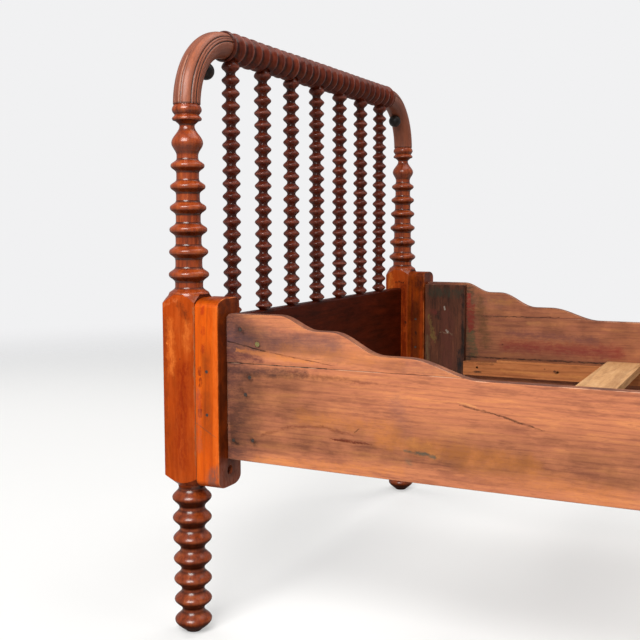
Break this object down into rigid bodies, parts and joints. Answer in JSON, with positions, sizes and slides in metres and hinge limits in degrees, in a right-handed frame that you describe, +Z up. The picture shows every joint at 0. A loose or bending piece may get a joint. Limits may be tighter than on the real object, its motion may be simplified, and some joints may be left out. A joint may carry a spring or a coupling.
{
  "type": "spool-turned bed frame",
  "caption": "Bed frame with spool-turned posts and spindles, rounded top corners, scalloped side rails that hook onto end blocks, and loose slats on notched ledgers.",
  "frame": {"origin": "on the floor under the middle of the bed", "axes": "+X along the bed from the head end to the foot end, +Y across it to the right as seen from the foot, +Z up"},
  "size_m": [2.0882, 1.1884, 1.1392],
  "materials": {
    "post_wood": "glossy orange-brown varnish",
    "block_wood": "satin orange varnish",
    "bend_wood": "satin brown varnish",
    "spindle_wood": "glossy dark red-brown varnish",
    "panel_wood": "satin near-black brown varnish",
    "knob_wood": "near-black, satin",
    "rail_wood": "worn matte orange-tan",
    "ledger_wood": "bare, aged",
    "batten_wood": "dark, weathered, with traces of red paint",
    "slat_wood": "bare softwood",
    "iron": "dark oxidised iron",
    "brass": "dull brass"
  },
  "bodies": {
    "rails": {"left_rail_plank": "rail_wood", "left_rail_ledger": "ledger_wood", "left_rail_hook_irons": "iron", "left_rail_nails": "iron", "left_rail_screws": "brass", "left_rail_head_bracket": "rail_wood", "left_rail_head_batten": "batten_wood", "left_rail_foot_bracket": "rail_wood", "left_rail_foot_batten": "batten_wood", "right_rail_plank": "rail_wood", "right_rail_ledger": "ledger_wood", "right_rail_hook_irons": "iron", "right_rail_nails": "iron", "right_rail_screws": "brass", "right_rail_head_bracket": "rail_wood", "right_rail_head_batten": "batten_wood", "right_rail_foot_bracket": "rail_wood", "right_rail_foot_batten": "batten_wood"},
    "head_end": {"head_left_post": "post_wood", "head_left_rail_block": "block_wood", "head_left_bend": "bend_wood", "head_right_post": "post_wood", "head_right_rail_block": "block_wood", "head_right_bend": "bend_wood", "head_top_rod": "spindle_wood", "head_panel": "panel_wood", "head_knobs": "knob_wood", "head_block_bolts": "iron", "head_hook_pins": "iron", "head_spindle_1": "spindle_wood", "head_spindle_2": "spindle_wood", "head_spindle_3": "spindle_wood", "head_spindle_4": "spindle_wood", "head_spindle_5": "spindle_wood", "head_spindle_6": "spindle_wood", "head_spindle_7": "spindle_wood"},
    "foot_end": {"foot_left_post": "post_wood", "foot_left_rail_block": "block_wood", "foot_left_bend": "bend_wood", "foot_right_post": "post_wood", "foot_right_rail_block": "block_wood", "foot_right_bend": "bend_wood", "foot_top_rod": "spindle_wood", "foot_panel": "panel_wood", "foot_knobs": "knob_wood", "foot_block_bolts": "iron", "foot_hook_pins": "iron", "foot_spindle_1": "spindle_wood", "foot_spindle_2": "spindle_wood", "foot_spindle_3": "spindle_wood", "foot_spindle_4": "spindle_wood", "foot_spindle_5": "spindle_wood", "foot_spindle_6": "spindle_wood", "foot_spindle_7": "spindle_wood"},
    "slat_2": {"slat_2": "slat_wood"},
    "slat_3": {"slat_3": "slat_wood"},
    "slat_4": {"slat_4": "slat_wood"},
    "slat_5": {"slat_5": "slat_wood"}
  },
  "joints": [
    {"name": "head_unhook", "type": "slide", "parent": "rails", "child": "head_end", "axis": [0, 0, -1], "range_m": [0, 0.012]},
    {"name": "foot_unhook", "type": "slide", "parent": "rails", "child": "foot_end", "axis": [0, 0, -1], "range_m": [0, 0.012]},
    {"name": "slat_2_lift", "type": "slide", "parent": "rails", "child": "slat_2", "axis": [0, 0, 1], "range_m": [0, 0.22]},
    {"name": "slat_3_lift", "type": "slide", "parent": "rails", "child": "slat_3", "axis": [0, 0, 1], "range_m": [0, 0.22]},
    {"name": "slat_4_lift", "type": "slide", "parent": "rails", "child": "slat_4", "axis": [0, 0, 1], "range_m": [0, 0.22]},
    {"name": "slat_5_lift", "type": "slide", "parent": "rails", "child": "slat_5", "axis": [0, 0, 1], "range_m": [0, 0.22]}
  ]
}
